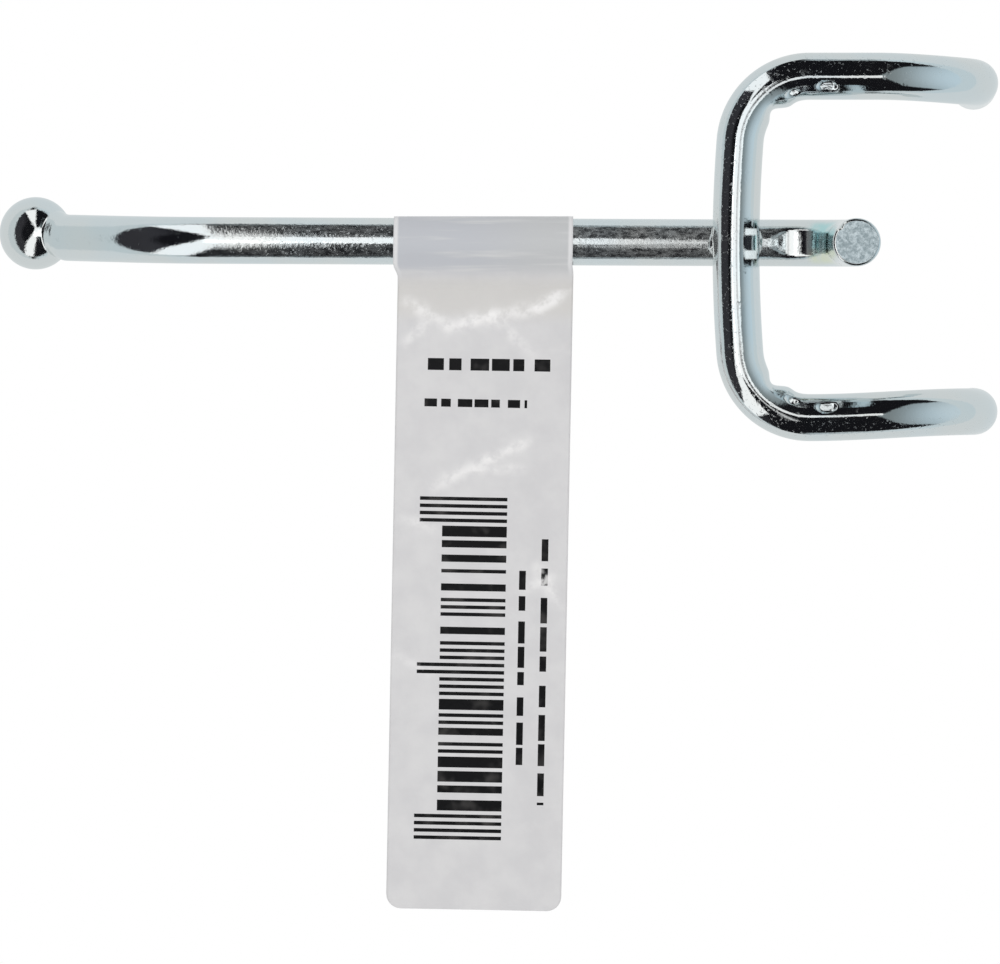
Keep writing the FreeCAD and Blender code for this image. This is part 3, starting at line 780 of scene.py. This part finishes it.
def film_material():
    """Pale grey film with a soft gloss, creases whitened and with a painted highlight, and a plain print of
    bars and rules on its front.
    """
    material, tree, shader = plain_material("creased film")
    place = add(tree, "ShaderNodeAttribute", attribute_name="film_place").outputs["Vector"]
    parts = add(tree, "ShaderNodeSeparateXYZ", {"Vector": place}).outputs
    across, along = parts["X"], parts["Y"]
    crease_whitening_and_highlight = add(tree, "ShaderNodeAttribute", attribute_name="crease_whitening_and_highlight").outputs["Fac"]
    mottle = fine_noise(tree, place, 0.35, 3.0)
    paper = blend(tree, ramp(tree, mottle, 0.3, 0.7), (0.64, 0.635, 0.645, 1), (0.69, 0.685, 0.69, 1))
    # Painted shade: the film is darker where it wraps over the wire, more lavender towards one edge, with
    # lighter streaks along it.
    over_wire = ramp(tree, math_node(tree, "ABSOLUTE", along), 2.9, 1.5)
    painted_wrap_shade = blend(tree, ramp(tree, across, -2, 5), (0.525, 0.54, 0.575, 1), (0.545, 0.555, 0.565, 1))
    drawn = add(tree, "ShaderNodeMapping", {"Vector": place, "Scale": (0.12, 1.6, 1.6)}).outputs[0]
    streaked = ramp(tree, fine_noise(tree, drawn, 1.0, 2.0), 0.5, 0.75)
    painted_wrap_shade = blend(tree, streaked, painted_wrap_shade, (0.64, 0.645, 0.65, 1))
    below_wire = ramp(tree, math_node(tree, "ABSOLUTE", math_node(tree, "SUBTRACT", along, 4.2)), 2.2, 0.6)
    paper = blend(tree, math_node(tree, "MULTIPLY", below_wire, 0.7), paper, (0.645, 0.63, 0.605, 1))
    paper = blend(tree, over_wire, paper, painted_wrap_shade)
    at_edge = ramp(tree, math_node(tree, "ABSOLUTE", across), 6.15, 6.35)
    paper = blend(tree, math_node(tree, "MULTIPLY", over_wire, at_edge), paper, (0.74, 0.74, 0.75, 1))
    # Creases are painted lighter: partly whitening of the film, partly a painted highlight.
    broken = ramp(tree, fine_noise(tree, place, 1.1, 3.0), 0.32, 0.6, 0.25, 1.0)
    white = math_node(tree, "MULTIPLY", crease_whitening_and_highlight, broken)
    paper = blend(tree, white, paper, (0.90, 0.89, 0.885, 1))
    print_marks = bars_on_flag(tree, across, along)
    rules = [
        (across, along, -4.2, 5.2, 9.2, 0.9, 1.6),
        (across, along, -4.4, 3.3, 12.1, 0.6, 1.25),
        (along, across, 24.6, 39.2, 3.2, 0.5, 1.9),
        (along, across, 22.2, 42.2, 4.85, 0.5, 2.2),
    ]
    for rule in rules:
        print_marks = math_node(tree, "MAXIMUM", print_marks, rule_on_flag(tree, *rule))
    # The ink fades on the creases under the same painted highlight and whitening.
    ink_kept_on_lit_creases = ramp(tree, math_node(tree, "MULTIPLY", white, 1.6), 0.2, 0.9, 1.0, 0.25)
    ink = math_node(tree, "MULTIPLY", print_marks, ink_kept_on_lit_creases)
    sheen = ramp(tree, fine_noise(tree, place, 0.5, 2.0), 0.5, 0.75)
    black = blend(tree, sheen, (0.004, 0.004, 0.005, 1), (0.045, 0.043, 0.042, 1))
    tree.links.new(blend(tree, ink, paper, black), shader.inputs["Base Color"])
    shader.inputs["Specular IOR Level"].default_value = 0.18
    tree.links.new(ramp(tree, mottle, 0.3, 0.7, 0.32, 0.46), shader.inputs["Roughness"])
    fuzz = fine_noise(tree, place, 6.0, 3.0)
    fibres = math_node(tree, "MULTIPLY_ADD", fuzz, 0.3, fine_noise(tree, place, 0.8, 2.0))
    bump = add(tree, "ShaderNodeBump", {"Height": fibres, "Distance": 0.00003})
    tree.links.new(bump.outputs["Normal"], shader.inputs["Normal"])
    return material


def white_floor():
    """The white table behind the hook, seen only from its front."""
    mesh = bpy.data.meshes.new("white_table")
    reach, height = 1.6, 0.014
    square = ((-reach, -reach), (-reach, reach), (reach, reach), (reach, -reach))
    corners = [(x, y, height) for x, y in square]
    mesh.from_pydata(corners, [], [(0, 1, 2, 3)])
    mesh.update()
    table = bpy.data.objects.new("white_table", mesh)
    bpy.context.scene.collection.objects.link(table)
    material = bpy.data.materials.new("white table")
    material.use_nodes = True
    tree = material.node_tree
    tree.nodes.clear()
    path = add(tree, "ShaderNodeLightPath").outputs
    seen = math_node(tree, "MAXIMUM", path["Is Camera Ray"], path["Is Transmission Ray"])
    mirrored = math_node(tree, "MAXIMUM", seen, path["Is Glossy Ray"])
    shade = add(tree, "ShaderNodeBsdfDiffuse", {"Color": (0.8, 0.8, 0.8, 1)}).outputs[0]
    level = blend(tree, seen, (0.735, 0.765, 0.772, 1), (1, 1, 1, 1))
    glow = add(tree, "ShaderNodeEmission", {"Color": level}).outputs[0]
    front = add(tree, "ShaderNodeMixShader", {0: mirrored, 1: shade, 2: glow}).outputs[0]
    clear = add(tree, "ShaderNodeBsdfTransparent").outputs[0]
    behind = add(tree, "ShaderNodeNewGeometry").outputs["Backfacing"]
    both = add(tree, "ShaderNodeMixShader", {0: behind, 1: front, 2: clear}).outputs[0]
    add(tree, "ShaderNodeOutputMaterial", {"Surface": both})
    mesh.materials.append(material)


def studio_world():
    """White to the camera, even soft light on the flag, a dim studio with a pale horizon in the plating."""
    world = bpy.data.worlds.new("studio")
    bpy.context.scene.world = world
    world.use_nodes = True
    tree = world.node_tree
    tree.nodes.clear()
    path = add(tree, "ShaderNodeLightPath").outputs
    toward = add(tree, "ShaderNodeTexCoord").outputs["Generated"]
    parts = add(tree, "ShaderNodeSeparateXYZ", {"Vector": toward}).outputs
    facing = math_node(tree, "MULTIPLY", parts["Z"], -1.0)
    slant = math_node(tree, "ABSOLUTE", parts["X"])
    rim = math_node(tree, "MULTIPLY_ADD", math_node(tree, "POWER", slant, 2.0), 0.15, facing)
    horizon = math_node(tree, "MULTIPLY", ramp(tree, rim, 0.32, 0.29), ramp(tree, parts["Y"], -0.1, 0.15))
    off_axis = ramp(tree, facing, 0.80, 0.68)
    low_front = math_node(tree, "MULTIPLY", off_axis, ramp(tree, parts["Y"], -0.3, -0.6))
    dim = blend(tree, low_front, (0.008, 0.008, 0.010, 1), (0.036, 0.035, 0.04, 1))
    spread = math_node(tree, "SUBTRACT", ramp(tree, parts["Y"], 0.05, 0.45, 0.0, 0.78), slant)
    wall = ramp(tree, spread, 0.0, 0.08)
    along_wall = ramp(tree, parts["Y"], 0.2, 0.98)
    wall_shade = blend(tree, along_wall, (0.22, 0.255, 0.265, 1), (0.62, 0.73, 0.79, 1))
    studio_sides = blend(tree, wall, dim, wall_shade)
    mirrored = blend(tree, horizon, studio_sides, (0.65, 0.72, 0.745, 1))
    soft = add(tree, "ShaderNodeBackground", {"Color": (1, 1, 1, 1), "Strength": 0.92}).outputs[0]
    studio = add(tree, "ShaderNodeBackground", {"Color": mirrored}).outputs[0]
    white = add(tree, "ShaderNodeBackground", {"Color": (1, 1, 1, 1)}).outputs[0]
    in_metal = math_node(tree, "MAXIMUM", path["Is Glossy Ray"], path["Is Transmission Ray"])
    lit = add(tree, "ShaderNodeMixShader", {0: in_metal, 1: soft, 2: studio}).outputs[0]
    shown = add(tree, "ShaderNodeMixShader", {0: path["Is Camera Ray"], 1: lit, 2: white}).outputs[0]
    add(tree, "ShaderNodeOutputWorld", {"Surface": shown})


def soft_box(name, middle, size, brightness):
    """A rectangular soft light over the hook, facing it, as bright as a surface of that value."""
    lamp = bpy.data.lights.new(name, "AREA")
    lamp.shape = "RECTANGLE"
    lamp.size, lamp.size_y = size[0] * MM, size[1] * MM
    lamp.energy = brightness * lamp.size * lamp.size_y * math.pi
    light = bpy.data.objects.new(name, lamp)
    bpy.context.scene.collection.objects.link(light)
    light.matrix_world = Matrix.Translation(Vector(middle) * MM) @ Matrix.Rotation(math.pi, 4, "X")
    light.visible_camera = False


def glow_card(name, corners, faces, colour):
    """A folded card beside the hook, seen only in its plating."""
    mesh = bpy.data.meshes.new(name)
    mesh.from_pydata([Vector(corner) * MM for corner in corners], [], faces)
    mesh.update()
    card = bpy.data.objects.new(name, mesh)
    bpy.context.scene.collection.objects.link(card)
    material = bpy.data.materials.new(name)
    material.use_nodes = True
    tree = material.node_tree
    tree.nodes.clear()
    glow = add(tree, "ShaderNodeEmission", {"Color": (*colour, 1)}).outputs[0]
    add(tree, "ShaderNodeOutputMaterial", {"Surface": glow})
    mesh.materials.append(material)
    card.visible_camera = False
    card.visible_diffuse = False
    card.visible_shadow = False


def photo_camera():
    """The camera below the hook, looking up at its underside with the prongs to the right."""
    data = bpy.data.cameras.new("photo_camera")
    data.sensor_width = 36
    data.lens = data.sensor_width * FOCAL_PIXELS / PHOTO_WIDTH
    camera = bpy.data.objects.new("photo_camera", data)
    bpy.context.scene.collection.objects.link(camera)
    back = (CAMERA_PLACE - LOOK_AT).normalized()
    up = back.cross(Y_AXIS)
    turn = Matrix((Y_AXIS, up, back)).transposed().to_4x4()
    camera.matrix_world = Matrix.Translation(CAMERA_PLACE * MM) @ turn
    bpy.context.scene.camera = camera


plating = plating_group()
bright_zinc = scuffed_bracket(plating)
arm_zinc = rubbed_arm(plating)
sheared_zinc = plated(
    "sheared zinc", plating, grain=2.2, streaks=0.0, flecks=0.3, bump_height=0.000016, roughness=(0.35, 0.5),
    tints=SHEARED_TINTS, metal=0.4,
)
weld_zinc = plated(
    "weld zinc", plating, grain=1.6, streaks=0.0, flecks=0.3, bump_height=0.000016, roughness=(0.12, 0.35),
    tints=WELD_TINTS,
)
film = film_material()

wire, radius_at = bracket_wire()
bracket = wire_mesh(
    "bent_bracket", wire, radius_at, cut_end(PRONG_BEVEL, 0.03, 1.0), cut_end(PRONG_BEVEL, 0.03, 2.0)
)
wire, radius_at = arm_wire()
arm = wire_mesh("ball_arm", wire, radius_at, cut_end(STUB_BEVEL, 0.02, 3.0))
flash = weld_flash()
flag = folded_flag()

for piece, node, slot, finishes in (
    (bracket, "bracket", "plated_wire", (bright_zinc, sheared_zinc)),
    (arm, "arm", "plated_wire", (arm_zinc, sheared_zinc)),
    (flash, None, "plated_wire", (weld_zinc,)),
    (flag, "label", "flag_film", (film,)),
):
    for finish in finishes:
        piece.data.materials.append(finish)
    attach(piece, "root")
    if node:
        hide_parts(node)

white_floor()
studio_world()
soft_box("overhead_bar", (9.5, -41, LAMP_PLANE), (73, 48), 1.15)
soft_box("dim_end_of_bar", (-18, -12.5, LAMP_PLANE), (106, 9), 0.6)
soft_box("thin_light", (2, 8, LAMP_PLANE), (22, 32), 0.95)
glow_card(
    "upper_card",
    [(46, -47, CARD_PLANE), (105, -56, CARD_PLANE), (105, -94, CARD_PLANE), (46, -58, CARD_PLANE),
     (105, -108, -43), (105, -112, -8), (105, -58, -8)],
    [(0, 1, 2, 3), (1, 6, 5, 4, 2)],
    CARD_WHITE,
)
glow_card(
    "lower_card",
    [(-27, -45.5, CARD_PLANE), (-105, -58, CARD_PLANE), (-105, -150, CARD_PLANE), (20, -64, CARD_PLANE),
     (-105, -143, -100), (-105, -112, -8), (-105, -74, -8)],
    [(0, 1, 2, 3), (1, 6, 5, 4, 2)],
    CARD_WHITE,
)
glow_card(
    "low_paper",
    [(-400, -130, 14), (400, -130, 14), (400, -130, -19), (-400, -130, -19)],
    [(0, 1, 2, 3)],
    PAPER_WHITE,
)
photo_camera()
bpy.context.scene.view_settings.view_transform = "Standard"
